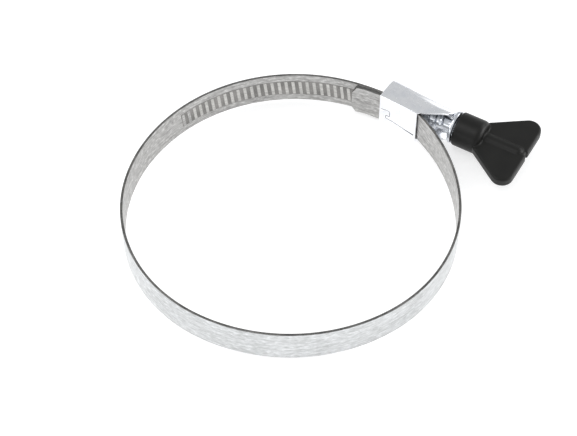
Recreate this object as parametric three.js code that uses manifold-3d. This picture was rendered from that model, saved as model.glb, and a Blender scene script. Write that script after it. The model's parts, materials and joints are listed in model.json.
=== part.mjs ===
// Worm-drive hose clamp with a winged grip, in millimetres.
// X runs along the screw towards the wing, Y points out of the loop through the housing,
// and Z runs across the band. While it is built, the loop's circle and the screw share
// the plane Z = 0; the finished group is then stood on the plane Z = 0.
import * as THREE from "three";
import { mergeVertices } from "three/addons/utils/BufferGeometryUtils.js";
import Module from "manifold-3d";

// ---- Driving dimensions ----

const boreRadius = 40; // inside of the loop, clamp fully open
// The loop isn't quite round: inner radius of each of its arcs, over the bore's radius.
const threadedBow = 1.0375;
const leftBow = 0.939;
const rightBow = 1.0665;
const fixedBow = 0.951;
const exitBow = 1.166;
const leftFlex = 201; // degrees, way that the outer face looks where two lengths flex
const backMiddle = 271; // where the left arc meets the right one
const rightFlex = 332;
const exitTurn = 390; // where the fixed length's two arcs meet
const bandWidth = 9;
const bandThickness = 0.7;
const hingeGap = 0.3; // between two lengths of band that flex against each other

const tunnelStart = 3; // X of the housing's closed end
const tunnelLength = 10.8; // floor of the housing
const flatX = 4.5; // X where the threaded length lies parallel to the screw
const slackDrop = 0.475; // slack arc's centre below the loop's centre, over boreRadius
const bandRise = 0.56; // threaded length above a round loop at flatX
const layerGap = 0.25; // threaded length over the fixed length
const floorGap = 0.1; // fixed length over the housing's floor
const arcEndX = -4.5; // X where the threaded length's slack arc ends
const tongueReach = 8; // fixed length past the housing's closed end
const tongueDip = 5; // length of its end that bends away from the threaded length
const tongueRadius = 20;
const tailReach = 0.6; // threaded length short of the floor's open end
const exitSlope = 29; // degrees, fixed length where it leaves the housing
const exitBend = 3; // bend radius there

const pitch = 1.83;
const slotCount = 36;
const slotWidth = 1.25;
const slotHeight = 4.8;
const slotDepth = 0.52;
const slotsPastFlat = 4; // slots on the housing side of flatX

const threadRadius = 2.7;
const threadDepth = 0.45; // thread below the threaded length's outer face
const rootRadius = 1.95;
const threadTip = 0.66; // axial width of the thread's crest
const threadFlank = 0.28; // extra width on each side at its foot
const threadSeat = 0.2; // thread's foot inside the screw's core
const threadStart = 1.5; // thread's ends, from the housing's two ends
const threadEnd = 2.4;
const neckRadius = 1.75;
const coverLength = 18.4; // housing's arch, from its closed end
const collarGap = 0.5; // housing to collar
const collarRadius = 4.35;
const collarThickness = 0.9;
const headAcrossFlats = 5.6;
const headLength = 6.2;

const sheet = 0.7; // housing wall
const sideClearance = 0.2; // band to the housing's side walls
const coverClearance = 0.35; // thread to the arch at its open end
const archFlare = 1.35; // wider radius of the arch at its closed end
const shoulderDrop = 1.2; // side wall's top below the screw's axis
const notchRise = 4.0; // how far the side walls' open end is cut back upwards
const endPlateRise = 0.5; // end plate over the threaded length
const lipThickness = 0.7;
const lipClearance = 0.35; // neck to the housing's lip

const hubRadius = 4.45;
const hubLength = 7.4;
const hubRound = 1.4;
const hubGap = 0.3; // collar to hub
const socketClearance = 0.2;
const wingLength = 19; // collar side of the hub to the wing's outer edge
const wingRootX = 5.6; // wing's narrow end, from the hub's collar side
const wingTip = 13.4; // half width at the outer edge before rounding
const wingCorner = 3;
const wingThickness = 2.6;
const wingEdge = 0.5;
const ribRadius = 1.9;
const ribEnd = 1.2; // rib short of the wing's outer edge
const wingTurn = 2; // degrees about the screw

const arcStep = 3; // degrees for each chord of an arc
const threadSteps = 16; // chords for each turn of the thread

// ---- Places that follow from them ----

const radians = THREE.MathUtils.degToRad;
const loopRadius = boreRadius + bandThickness / 2;
const threadedY = loopRadius + bandRise; // threaded length's middle surface at flatX
const slackCentre = new THREE.Vector2(flatX, -slackDrop * boreRadius);
const slackRadius = threadedY - slackCentre.y;
const fixedRadius = slackRadius - bandThickness - layerGap;
const floorRadius = fixedRadius - bandThickness / 2 - floorGap - sheet / 2;
const screwY = threadedY + bandThickness / 2 - threadDepth + threadRadius;
const tunnelEnd = tunnelStart + tunnelLength;
const coverEnd = tunnelStart + coverLength;
const collarStart = coverEnd + collarGap;
const hubStart = collarStart + collarThickness + hubGap;
const wallHalfWidth = bandWidth / 2 + sideClearance + sheet;
const archInner = threadRadius + coverClearance;
const archOuter = archInner + sheet;

// ---- Materials ----

const materials = {
  band: new THREE.MeshStandardMaterial({ color: 0xb9bab8, roughness: 0.42, metalness: 0.9 }),
  housing: new THREE.MeshStandardMaterial({ color: 0xdcdee6, roughness: 0.2, metalness: 0.95 }),
  screw: new THREE.MeshStandardMaterial({ color: 0xc6cad0, roughness: 0.25, metalness: 0.95 }),
  grip: new THREE.MeshStandardMaterial({ color: 0x24241f, roughness: 0.5, metalness: 0 }),
};

// ---- Solids ----

const wasm = await Module();
wasm.setup();

function solidFrom(geometry) {
  const bare = geometry.index ? geometry.toNonIndexed() : geometry.clone();
  bare.deleteAttribute("normal");
  bare.deleteAttribute("uv");
  const merged = mergeVertices(bare, 1e-4);
  return new wasm.Manifold(
    new wasm.Mesh({
      numProp: 3,
      vertProperties: new Float32Array(merged.attributes.position.array),
      triVerts: new Uint32Array(merged.index.array),
    }),
  );
}

function meshFrom(name, solid, material) {
  const { vertProperties, triVerts } = solid.getMesh();
  const geometry = new THREE.BufferGeometry();
  geometry.setAttribute("position", new THREE.BufferAttribute(vertProperties, 3));
  geometry.setIndex(new THREE.BufferAttribute(triVerts, 1));
  geometry.computeVertexNormals();
  const mesh = new THREE.Mesh(geometry, material);
  mesh.name = name;
  return mesh;
}

// Prism of an outline in the XY plane, centred on Z = 0.
function plate(shape, thickness, edge = 0) {
  const geometry = new THREE.ExtrudeGeometry(shape, {
    depth: thickness - 2 * edge,
    bevelEnabled: edge > 0,
    bevelThickness: edge,
    bevelSize: edge,
    bevelOffset: -edge,
    bevelSegments: 2,
    curveSegments: 10,
  });
  return geometry.translate(0, 0, edge - thickness / 2);
}

// Prism of an outline in the YZ plane, from one X to another.
function bar(shape, from, to) {
  const geometry = new THREE.ExtrudeGeometry(shape, {
    depth: to - from,
    bevelEnabled: false,
    curveSegments: 14,
  });
  const across = new THREE.Matrix4().makeBasis(
    new THREE.Vector3(0, 1, 0),
    new THREE.Vector3(0, 0, 1),
    new THREE.Vector3(1, 0, 0),
  );
  return geometry.applyMatrix4(across).translate(from, 0, 0);
}

// Solid between an outline at one X and a second outline with the same corners at another.
function tapered(first, second, from, to) {
  const geometry = bar(first, from, to);
  const [start, end] = [first, second].map((shape) => shape.getPoints(14));
  const position = geometry.attributes.position;
  for (let i = 0; i < position.count; i++) {
    if (position.getX(i) < (from + to) / 2) continue;
    const here = new THREE.Vector2(position.getY(i), position.getZ(i));
    const { x, y } = end[start.findIndex((point) => point.distanceTo(here) < 1e-4)];
    position.setXYZ(i, to, x, y);
  }
  return geometry;
}

// Turned solid about the screw's axis, from [radius, X] pairs.
function turned(profile, segments = 36) {
  const points = profile.map(([radius, x]) => new THREE.Vector2(radius, x));
  const geometry = new THREE.LatheGeometry(points, segments);
  return geometry.rotateZ(-Math.PI / 2).translate(0, screwY, 0);
}

// ---- Band ----

// Route of a strip's middle surface, seen along Z and bending to the left.
class Route {
  constructor(point, heading) {
    this.stations = [{ point: point.clone(), heading }];
    this.pieces = [];
    this.length = 0;
  }

  static step({ point, heading }, radius, distance) {
    if (!radius) {
      const ahead = new THREE.Vector2(Math.cos(heading), Math.sin(heading));
      return { point: point.clone().addScaledVector(ahead, distance), heading };
    }
    const turn = distance / radius;
    const x = point.x + radius * (Math.sin(heading + turn) - Math.sin(heading));
    const y = point.y - radius * (Math.cos(heading + turn) - Math.cos(heading));
    return { point: new THREE.Vector2(x, y), heading: heading + turn };
  }

  add(radius, length) {
    const start = this.stations.at(-1);
    const steps = radius ? Math.ceil(length / radius / radians(arcStep)) : 1;
    for (let i = 1; i <= steps; i++) {
      this.stations.push(Route.step(start, radius, (length * i) / steps));
    }
    this.pieces.push({ start, radius, from: this.length });
    this.length += length;
    return this;
  }

  arc(radius, angle) {
    return this.add(radius, radius * angle);
  }

  // Arc that ends where the strip's outer face looks along an angle.
  turnTo(radius, facing) {
    return this.arc(radius, facing + Math.PI / 2 - this.stations.at(-1).heading);
  }

  // New route that carries this one's line on after a gap.
  onward(gap) {
    const { point, heading } = this.at(this.length + gap);
    return new Route(point, heading);
  }

  at(distance) {
    const piece = this.pieces.findLast(({ from }) => from <= distance) ?? this.pieces[0];
    return Route.step(piece.start, piece.radius, distance - piece.from);
  }

  outline(thickness) {
    const offset = ({ point, heading }, side) =>
      new THREE.Vector2(
        point.x + side * Math.sin(heading),
        point.y - side * Math.cos(heading),
      );
    const outer = this.stations.map((station) => offset(station, thickness / 2));
    const inner = this.stations.map((station) => offset(station, -thickness / 2));
    return new THREE.Shape([...outer, ...inner.reverse()]);
  }
}

// Route along a circle between two position angles.
function ringRoute(centre, radius, from, to) {
  const start = new THREE.Vector2(Math.cos(from), Math.sin(from));
  const point = start.multiplyScalar(radius).add(centre);
  return new Route(point, from + Math.PI / 2).arc(radius, to - from);
}

const strip = (route) => solidFrom(plate(route.outline(bandThickness), bandWidth));
const bowRadius = (bow) => bow * boreRadius + bandThickness / 2;
const topAngle = (x, radius) => Math.PI / 2 - Math.asin((x - slackCentre.x) / radius);
const tailAngle = topAngle(tunnelEnd - tailReach, slackRadius);

const threadedRoute = ringRoute(slackCentre, slackRadius, tailAngle, topAngle(arcEndX, slackRadius))
  .turnTo(bowRadius(threadedBow), radians(leftFlex));
const backRoute = threadedRoute.onward(hingeGap)
  .turnTo(bowRadius(leftBow), radians(backMiddle))
  .turnTo(bowRadius(rightBow), radians(rightFlex));

function bandFixedEnd() {
  const slope = radians(exitSlope);
  const outward = new THREE.Vector2(Math.sin(slope), Math.cos(slope));
  const along = new THREE.Vector2(-Math.cos(slope), Math.sin(slope));
  const route = backRoute.onward(hingeGap)
    .turnTo(bowRadius(fixedBow), radians(exitTurn))
    .turnTo(bowRadius(exitBow), radians(360 + 90) - slope);
  const leave = route.stations.at(-1).point;
  // The bend touches the straight and the arc that lies in the housing.
  const rise = leave.clone().sub(slackCentre).dot(outward) - exitBend;
  const run = Math.sqrt((fixedRadius - exitBend) ** 2 - rise ** 2);
  const bendCentre = slackCentre
    .clone()
    .addScaledVector(outward, rise)
    .addScaledVector(along, run);
  const straight = bendCentre.clone().sub(leave).dot(along);
  const toBend = bendCentre.clone().sub(slackCentre);
  const meet = Math.atan2(toBend.y, toBend.x);
  const dipAngle = topAngle(tunnelStart - tongueReach + tongueDip, fixedRadius);

  route
    .add(0, straight)
    .arc(exitBend, meet - (Math.PI / 2 - slope))
    .arc(fixedRadius, dipAngle - meet)
    .add(tongueRadius, tongueDip);
  return strip(route);
}

function bandThreadedEnd() {
  const outerRadius = slackRadius + bandThickness / 2;
  const flatDistance = (Math.PI / 2 - tailAngle) * slackRadius;
  const stepAlong = (pitch * slackRadius) / outerRadius;
  const slant = Math.atan(pitch / (2 * Math.PI * threadRadius));
  let body = strip(threadedRoute);
  for (let i = 0; i < slotCount; i++) {
    const { point, heading } = threadedRoute.at(flatDistance + (i - slotsPastFlat) * stepAlong);
    const out = new THREE.Vector3(Math.sin(heading), -Math.cos(heading), 0);
    const ahead = new THREE.Vector3(Math.cos(heading), Math.sin(heading), 0);
    const face = new THREE.Vector3(point.x, point.y, 0).addScaledVector(out, bandThickness / 2);
    const place = new THREE.Matrix4()
      .makeBasis(out, ahead, new THREE.Vector3(0, 0, 1))
      .setPosition(face);
    const cutter = new THREE.BoxGeometry(2 * slotDepth, slotWidth, slotHeight);
    body = body.subtract(solidFrom(cutter.rotateX(-slant).applyMatrix4(place)));
  }
  return body;
}

// ---- Housing ----

function archOutline(halfWidth, radius, foot, shoulderY) {
  const shape = new THREE.Shape();
  shape.moveTo(foot, -halfWidth);
  shape.lineTo(shoulderY, -halfWidth);
  shape.lineTo(screwY, -radius);
  shape.absarc(screwY, 0, radius, -Math.PI / 2, Math.PI / 2, false);
  shape.lineTo(shoulderY, halfWidth);
  shape.lineTo(foot, halfWidth);
  shape.closePath();
  return shape;
}

function housing() {
  const floorY = (x) => slackCentre.y + Math.sqrt(floorRadius ** 2 - (x - slackCentre.x) ** 2);
  const floorBottom = floorY(tunnelEnd) - sheet / 2;
  const foot = floorBottom - 1;
  const shoulderY = screwY - shoulderDrop;
  // Between the closed end (flare 1) and the open end (flare 0) the arch narrows evenly.
  const outside = (flare) =>
    archOutline(wallHalfWidth, archOuter + flare * archFlare, foot, shoulderY);
  const inside = (flare) =>
    archOutline(wallHalfWidth - sheet, archInner + flare * archFlare, foot - 1, shoulderY - sheet / 2);
  const past = 1 / coverLength; // the inside is cut 1 mm past both ends
  const shell = solidFrom(tapered(outside(1), outside(0), tunnelStart, coverEnd)).subtract(
    solidFrom(tapered(inside(1 + past), inside(-past), tunnelStart - 1, coverEnd + 1)),
  );

  // Everything kept, seen along Z: the floor's arc, the notched open end and the arch.
  const kept = new THREE.Shape();
  const from = topAngle(tunnelStart, floorRadius);
  const to = topAngle(tunnelEnd, floorRadius);
  kept.absarc(slackCentre.x, slackCentre.y, floorRadius - sheet / 2, from, to, true);
  kept.lineTo(tunnelEnd, floorBottom);
  kept.lineTo(coverEnd - lipThickness, floorBottom + notchRise);
  kept.lineTo(coverEnd, screwY);
  kept.lineTo(coverEnd, screwY + archOuter + archFlare + 1);
  kept.lineTo(tunnelStart, screwY + archOuter + archFlare + 1);
  kept.closePath();
  const keptSolid = solidFrom(plate(kept, 2 * wallHalfWidth + 2));

  const floorRoute = ringRoute(slackCentre, floorRadius, to, from);
  const floor = solidFrom(plate(floorRoute.outline(sheet), 2 * wallHalfWidth));

  const endFoot = threadedY + bandThickness / 2 + endPlateRise;
  const endRadius = archInner + archFlare + sheet / 2;
  const endOutline = archOutline(wallHalfWidth - sheet / 2, endRadius, endFoot, shoulderY);
  const endPlate = solidFrom(bar(endOutline, tunnelStart, tunnelStart + sheet));

  const lipOutline = new THREE.Shape();
  lipOutline.absarc(screwY, 0, archInner + sheet / 2, -Math.PI / 2, Math.PI / 2, false);
  lipOutline.absarc(screwY, 0, neckRadius + lipClearance, Math.PI / 2, -Math.PI / 2, true);
  const lip = solidFrom(bar(lipOutline, coverEnd - lipThickness, coverEnd));

  return shell.intersect(keptSolid).add(floor).add(endPlate).add(lip);
}

// ---- Screw ----

// Right-hand thread: a straight bar of its section, wound round the screw's axis.
function thread() {
  const from = tunnelStart + threadStart;
  const to = coverEnd - threadEnd;
  const turns = (to - from) / pitch;
  const base = rootRadius - threadSeat;
  const section = new THREE.Shape([
    new THREE.Vector2(-threadTip / 2 - threadFlank, base),
    new THREE.Vector2(threadTip / 2 + threadFlank, base),
    new THREE.Vector2(threadTip / 2, threadRadius),
    new THREE.Vector2(-threadTip / 2, threadRadius),
  ]);
  const geometry = new THREE.ExtrudeGeometry(section, {
    depth: turns * 2 * Math.PI,
    steps: Math.ceil(turns * threadSteps),
    bevelEnabled: false,
  });
  // A crest lies over a slot where the strip is parallel to the screw.
  const phase = Math.PI + (2 * Math.PI * (from - flatX)) / pitch;
  const position = geometry.attributes.position;
  for (let i = 0; i < position.count; i++) {
    const angle = position.getZ(i);
    const radius = position.getY(i);
    position.setXYZ(
      i,
      from + position.getX(i) + (pitch * angle) / (2 * Math.PI),
      screwY + radius * Math.cos(phase + angle),
      radius * Math.sin(phase + angle),
    );
  }
  return solidFrom(geometry);
}

function hexagon(acrossFlats) {
  const corner = acrossFlats / Math.sqrt(3);
  const points = Array.from({ length: 6 }, (_, i) => {
    const angle = (i * Math.PI) / 3;
    return new THREE.Vector2(screwY + corner * Math.cos(angle), corner * Math.sin(angle));
  });
  return new THREE.Shape(points);
}

function wormScrew() {
  const collarEnd = collarStart + collarThickness;
  const nose = tunnelStart + sheet + lipClearance;
  const shank = turned([
    [0, nose],
    [rootRadius - 0.4, nose],
    [rootRadius, nose + 0.4],
    [rootRadius, coverEnd - threadEnd + 0.6],
    [neckRadius, coverEnd - threadEnd + 0.9],
    [neckRadius, collarStart],
    [collarRadius - 0.2, collarStart],
    [collarRadius, collarStart + 0.2],
    [collarRadius, collarEnd - 0.2],
    [collarRadius - 0.2, collarEnd],
    [0, collarEnd],
  ]);
  const head = bar(hexagon(headAcrossFlats), collarEnd - 0.2, collarEnd + headLength);
  return solidFrom(shank).add(thread()).add(solidFrom(head));
}

// ---- Grip ----

function wingOutline() {
  const rootX = hubStart + wingRootX;
  const edgeX = hubStart + wingLength;
  const rootHalf = hubRadius - 0.3;
  const corner = new THREE.Vector2(edgeX, wingTip);
  const inward = new THREE.Vector2(rootX, rootHalf).sub(corner).normalize();
  const opening = Math.acos(-inward.y);
  const cut = wingCorner / Math.tan(opening / 2);
  const side = corner.clone().addScaledVector(inward, cut);
  const shape = new THREE.Shape();
  shape.moveTo(rootX, -rootHalf);
  shape.lineTo(side.x, -side.y);
  shape.quadraticCurveTo(edgeX, -wingTip, edgeX, -wingTip + cut);
  shape.lineTo(edgeX, wingTip - cut);
  shape.quadraticCurveTo(edgeX, wingTip, side.x, side.y);
  shape.lineTo(rootX, rootHalf);
  shape.closePath();
  return shape;
}

function wingGrip() {
  const hubEnd = hubStart + hubLength;
  const profile = [[0, hubStart], [hubRadius - 0.3, hubStart], [hubRadius, hubStart + 0.3]];
  const roundSteps = 4;
  for (let i = 0; i <= roundSteps; i++) {
    const angle = (i * Math.PI) / 2 / roundSteps;
    profile.push([
      hubRadius - hubRound * (1 - Math.cos(angle)),
      hubEnd - hubRound * (1 - Math.sin(angle)),
    ]);
  }
  profile.push([0, hubEnd]);

  const wing = plate(wingOutline(), wingThickness, wingEdge).translate(0, screwY, 0);
  const ribFrom = hubEnd - hubRound;
  const ribTo = hubStart + wingLength - ribEnd - ribRadius;
  const rib = new THREE.CapsuleGeometry(ribRadius, ribTo - ribFrom, 5, 16)
    .rotateZ(Math.PI / 2)
    .translate((ribFrom + ribTo) / 2, screwY, 0);
  const socket = hexagon(headAcrossFlats + 2 * socketClearance);
  const socketEnd = collarStart + collarThickness + headLength + socketClearance;

  return solidFrom(turned(profile))
    .add(solidFrom(wing))
    .add(solidFrom(rib))
    .subtract(solidFrom(bar(socket, hubStart - 1, socketEnd)))
    .translate([0, -screwY, 0])
    .rotate([wingTurn, 0, 0])
    .translate([0, screwY, 0]);
}

// ---- Assembly ----

const clamp = new THREE.Group();
clamp.add(
  meshFrom("housing", housing(), materials.housing),
  meshFrom("band_fixed_end", bandFixedEnd(), materials.band),
  meshFrom("band_back", strip(backRoute), materials.band),
  meshFrom("band_threaded_end", bandThreadedEnd(), materials.band),
  meshFrom("worm_screw", wormScrew(), materials.screw),
  meshFrom("wing_grip", wingGrip(), materials.grip),
);

// The origin is the middle of the clamp's footprint, on the plane that it lies on.
const extent = new THREE.Box3().setFromObject(clamp, true);
const middle = extent.getCenter(new THREE.Vector3());
clamp.position.set(-middle.x, -middle.y, -extent.min.z);
clamp.updateMatrixWorld(true);

export default clamp;
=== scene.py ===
"""Visual model of a worm-drive hose clamp with a winged grip, lying on a pale studio floor."""

import json
import logging
import math
from dataclasses import dataclass, field
from enum import Enum, IntEnum
from typing import Iterable, Sequence

import bmesh
import bpy
from mathutils import Matrix, Vector

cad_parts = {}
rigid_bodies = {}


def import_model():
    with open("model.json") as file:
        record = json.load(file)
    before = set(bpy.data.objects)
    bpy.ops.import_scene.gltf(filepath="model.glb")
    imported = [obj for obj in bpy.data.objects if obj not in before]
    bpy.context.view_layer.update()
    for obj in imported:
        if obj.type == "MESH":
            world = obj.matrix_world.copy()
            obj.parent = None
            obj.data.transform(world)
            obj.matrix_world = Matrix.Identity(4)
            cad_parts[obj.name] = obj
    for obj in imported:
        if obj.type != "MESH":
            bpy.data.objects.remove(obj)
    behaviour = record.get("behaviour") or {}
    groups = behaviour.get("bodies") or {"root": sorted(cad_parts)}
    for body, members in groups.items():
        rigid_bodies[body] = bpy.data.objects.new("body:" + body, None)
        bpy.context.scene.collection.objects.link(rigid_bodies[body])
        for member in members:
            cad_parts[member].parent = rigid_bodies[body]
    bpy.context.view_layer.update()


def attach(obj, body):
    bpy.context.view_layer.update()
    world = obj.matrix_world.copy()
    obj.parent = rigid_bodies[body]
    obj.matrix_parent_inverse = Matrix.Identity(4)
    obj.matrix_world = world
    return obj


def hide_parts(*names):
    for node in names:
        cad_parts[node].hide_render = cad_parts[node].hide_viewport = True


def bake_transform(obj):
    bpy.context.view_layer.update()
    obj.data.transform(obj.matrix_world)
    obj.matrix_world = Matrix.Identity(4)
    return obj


LOG = logging.getLogger("hose_clamp")

MM = 0.001
DATUM = Vector((-0.84436, -7.00498, 5.4))  # the clamp's own zero point, in the row frame, mm
SCREW_Y = 43.51  # the screw's axis lies along X at this Y
Z_AXIS = Vector((0.0, 0.0, 1.0))
X_AXIS = Vector((1.0, 0.0, 0.0))


class Body(str, Enum):
    """CAD bodies that the pieces move with."""

    CLAMP = "clamp_body"
    SCREW = "screw"
    BACK = "back_length"
    THREADED = "threaded_length"


class Slot(str, Enum):
    """Material slots of the part's record."""

    BAND = "band_steel"
    HOUSING = "housing_zinc"
    SCREW = "screw_zinc"
    GRIP = "grip_plastic"


class Side(IntEnum):
    """Material index of each side of the strip."""

    OUTER = 0
    INNER = 1
    RIM = 2
    PRESSED = 3
    PAD = 4


def outward(facing: float) -> Vector:
    """Gives the unit vector at an angle from +X about +Z, in degrees."""
    angle = math.radians(facing)
    return Vector((math.cos(angle), math.sin(angle), 0.0))


# ---- Finishes ----


class NodeBoard:
    """Builds a material's node tree around one Principled shader."""

    def __init__(self, name: str) -> None:
        """Starts an empty material.

        Args:
            name: The material's name.
        """
        self.material = bpy.data.materials.new(name)
        self.material.use_nodes = True
        self.tree = self.material.node_tree
        self.shader = self.tree.nodes["Principled BSDF"]
        coordinates = self.tree.nodes.new("ShaderNodeTexCoord")
        self.place = coordinates.outputs["Object"]

    def add(self, kind: str, **inputs: object) -> bpy.types.Node:
        """Adds a node and sets or links its inputs.

        Args:
            kind: The node's Blender type.
            **inputs: Values or output sockets by input name, with _ for a space.

        Returns:
            The new node.
        """
        node = self.tree.nodes.new(kind)
        for key, value in inputs.items():
            self.feed(node.inputs[key.replace("_", " ")], value)
        return node

    def feed(self, socket: bpy.types.NodeSocket, value: object) -> None:
        """Links an output to an input, or sets the input's value.

        Args:
            socket: The input.
            value: An output socket or a plain value.
        """
        if isinstance(value, bpy.types.NodeSocket):
            self.tree.links.new(value, socket)
        else:
            socket.default_value = value

    def math(self, operation: str, *values: object) -> bpy.types.NodeSocket:
        """Adds a math node.

        Args:
            operation: The operation's name.
            *values: Its operands, as sockets or numbers.

        Returns:
            The result's socket.
        """
        node = self.tree.nodes.new("ShaderNodeMath")
        node.operation = operation
        for socket, value in zip(node.inputs, values):
            self.feed(socket, value)
        return node.outputs[0]

    def noise(
        self, vector: bpy.types.NodeSocket, scale: float, detail: float = 3.0, rough: float = 0.5
    ) -> bpy.types.NodeSocket:
        """Adds a noise texture.

        Args:
            vector: Where it is read.
            scale: Cells for each unit of the vector.
            detail: Octaves.
            rough: Strength of the finer octaves.

        Returns:
            The noise's value socket.
        """
        node = self.add(
            "ShaderNodeTexNoise", Vector=vector, Scale=scale, Detail=detail, Roughness=rough
        )
        return node.outputs["Fac"]

    def stretch(self, socket: bpy.types.NodeSocket, low: float, high: float,
                to_low: float = 0.0, to_high: float = 1.0) -> bpy.types.NodeSocket:
        """Maps one range onto another and clamps the result.

        Args:
            socket: The value.
            low: Start of the range read.
            high: End of the range read.
            to_low: Result at the start.
            to_high: Result at the end.

        Returns:
            The mapped value's socket.
        """
        node = self.tree.nodes.new("ShaderNodeMapRange")
        for key, value in zip(
            ("Value", "From Min", "From Max", "To Min", "To Max"),
            (socket, low, high, to_low, to_high),
        ):
            self.feed(node.inputs[key], value)
        return node.outputs["Result"]

    def between(self, factor: object, first: Sequence[float], second: Sequence[float]
                ) -> bpy.types.NodeSocket:
        """Mixes two colours.

        Args:
            factor: Share of the second colour.
            first: The first colour, RGB.
            second: The second colour, RGB.

        Returns:
            The mixed colour's socket.
        """
        node = self.tree.nodes.new("ShaderNodeMix")
        node.data_type = "RGBA"
        self.feed(node.inputs["Factor"], factor)
        self.feed(node.inputs["A"], (*first, 1.0))
        self.feed(node.inputs["B"], (*second, 1.0))
        return node.outputs["Result"]

    def bump(self, height: bpy.types.NodeSocket, distance: float, strength: float = 1.0,
             normal: object = None) -> bpy.types.NodeSocket:
        """Adds a bump node.

        Args:
            height: The height's socket.
            distance: Depth of the relief, in metres.
            strength: Its strength.
            normal: Normal of a bump underneath, if there is one.

        Returns:
            The bumped normal's socket.
        """
        node = self.add("ShaderNodeBump", Height=height, Distance=distance, Strength=strength)
        if normal is not None:
            self.feed(node.inputs["Normal"], normal)
        return node.outputs["Normal"]

    def dress(self, **inputs: object) -> bpy.types.Material:
        """Sets the shader's inputs.

        Args:
            **inputs: Values or sockets by input name, with _ for a space.

        Returns:
            The finished material.
        """
        for key, value in inputs.items():
            self.feed(self.shader.inputs[key.replace("_", " ")], value)
        return self.material


@dataclass(frozen=True)
class StripFinish:
    """Galvanised strip with a lengthwise rolling grain, faint spangle and small flecks."""

    name: str
    dark: tuple[float, float, float]
    light: tuple[float, float, float]
    roughness: tuple[float, float]
    fleck: float
    dash: float
    centre: tuple[float, float] = (-0.0012, -0.0066)
    break_at: float = 80.0
    radius: float = 0.04

    def along(self, board: NodeBoard) -> bpy.types.NodeSocket:
        """Gives coordinates that run along and across the strip.

        Args:
            board: The board of the material.

        Returns:
            A vector socket: distance round the loop, height and distance outwards, in metres.
        """
        parts = board.add("ShaderNodeSeparateXYZ", Vector=board.place)
        x = board.math("SUBTRACT", parts.outputs["X"], self.centre[0])
        y = board.math("SUBTRACT", parts.outputs["Y"], self.centre[1])
        away = outward(self.break_at + 180.0)
        ahead = board.math("ADD", board.math("MULTIPLY", x, away.x), board.math("MULTIPLY", y, away.y))
        aside = board.math("SUBTRACT", board.math("MULTIPLY", y, away.x), board.math("MULTIPLY", x, away.y))
        round_loop = board.math("MULTIPLY", board.math("ARCTAN2", aside, ahead), self.radius)
        joined = board.add("ShaderNodeCombineXYZ", X=round_loop, Y=parts.outputs["Z"])
        return joined.outputs["Vector"]

    def scaled(self, board: NodeBoard, vector: bpy.types.NodeSocket, along: float, across: float
               ) -> bpy.types.NodeSocket:
        """Scales the strip's coordinates unevenly.

        Args:
            board: The board of the material.
            vector: The strip's coordinates.
            along: Cells for each metre along the strip.
            across: Cells for each metre across it.

        Returns:
            The scaled vector's socket.
        """
        node = board.tree.nodes.new("ShaderNodeVectorMath")
        node.operation = "MULTIPLY"
        board.feed(node.inputs[0], vector)
        board.feed(node.inputs[1], (along, across, 1.0))
        return node.outputs["Vector"]

    def material(self) -> bpy.types.Material:
        """Builds the material.

        Returns:
            The finished material.
        """
        board = NodeBoard(self.name)
        vector = self.along(board)
        grain = board.noise(self.scaled(board, vector, 90.0, 3200.0), 1.0, 4.0, 0.6)
        fine = board.noise(self.scaled(board, vector, 500.0, 9000.0), 1.0, 2.0, 0.6)
        cloud = board.noise(self.scaled(board, vector, 130.0, 330.0), 1.0, 3.0, 0.55)
        spangle = board.noise(self.scaled(board, vector, 620.0, 1500.0), 1.0, 3.0, 0.65)
        dashes = board.noise(self.scaled(board, vector, 420.0, 2600.0), 1.0, 2.0, 0.5)
        bright = board.stretch(spangle, 0.58, 0.66, 0.0, self.fleck)
        dark = board.stretch(dashes, 0.60, 0.68, 0.0, self.dash)
        parts = ((grain, 0.35), (cloud, 0.25), (spangle, 0.4))
        tone = 0.0
        for part, share in parts:
            tone = board.math("MULTIPLY_ADD", part, share, tone)
        tone = board.stretch(tone, 0.39, 0.61)
        tone = board.math("SUBTRACT", board.math("ADD", tone, bright), dark)
        relief = board.math("ADD", board.math("MULTIPLY", grain, 0.6), board.math("MULTIPLY", fine, 0.4))
        return board.dress(
            Base_Color=board.between(tone, self.dark, self.light),
            Metallic=1.0,
            Roughness=board.stretch(cloud, 0.35, 0.65, *self.roughness),
            Normal=board.bump(relief, 0.000012, 0.5),
        )


@dataclass(frozen=True)
class CutAndShadeFinish:
    """Dull metal torn across, in a dark tone: painted shade on the strip's cut rims, slot floors and
    pressed walls, and the housing's dark seam line.
    """

    name: str
    dark: tuple[float, float, float]
    light: tuple[float, float, float]
    roughness: float

    def material(self) -> bpy.types.Material:
        """Builds the material.

        Returns:
            The finished material.
        """
        board = NodeBoard(self.name)
        tears = board.noise(board.place, 2600.0, 4.0, 0.65)
        patches = board.noise(board.place, 260.0, 3.0, 0.5)
        tone = board.math("ADD", board.math("MULTIPLY", tears, 0.5), board.math("MULTIPLY", patches, 0.5))
        return board.dress(
            Base_Color=board.between(board.stretch(tone, 0.38, 0.62), self.dark, self.light),
            Metallic=1.0,
            Roughness=board.stretch(tears, 0.3, 0.7, self.roughness, self.roughness + 0.2),
            Normal=board.bump(tears, 0.00002, 0.5),
        )


@dataclass(frozen=True)
class ZincFinish:
    """Bright zinc plate over pressed or rolled steel."""

    name: str
    dark: tuple[float, float, float]
    light: tuple[float, float, float]
    roughness: tuple[float, float]
    ripple: float

    def material(self) -> bpy.types.Material:
        """Builds the material.

        Returns:
            The finished material.
        """
        board = NodeBoard(self.name)
        mottle = board.noise(board.place, 420.0, 3.0, 0.5)
        haze = board.noise(board.place, 1900.0, 4.0, 0.6)
        specks = board.stretch(board.noise(board.place, 5200.0, 1.0, 0.4), 0.68, 0.78, 0.0, 0.5)
        tone = board.math("SUBTRACT", board.stretch(mottle, 0.32, 0.6), specks)
        broad = board.bump(mottle, self.ripple, 0.6)
        return board.dress(
            Base_Color=board.between(tone, self.dark, self.light),
            Metallic=1.0,
            Roughness=board.stretch(haze, 0.3, 0.7, *self.roughness),
            Normal=board.bump(haze, 0.000004, 0.4, broad),
        )


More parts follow.
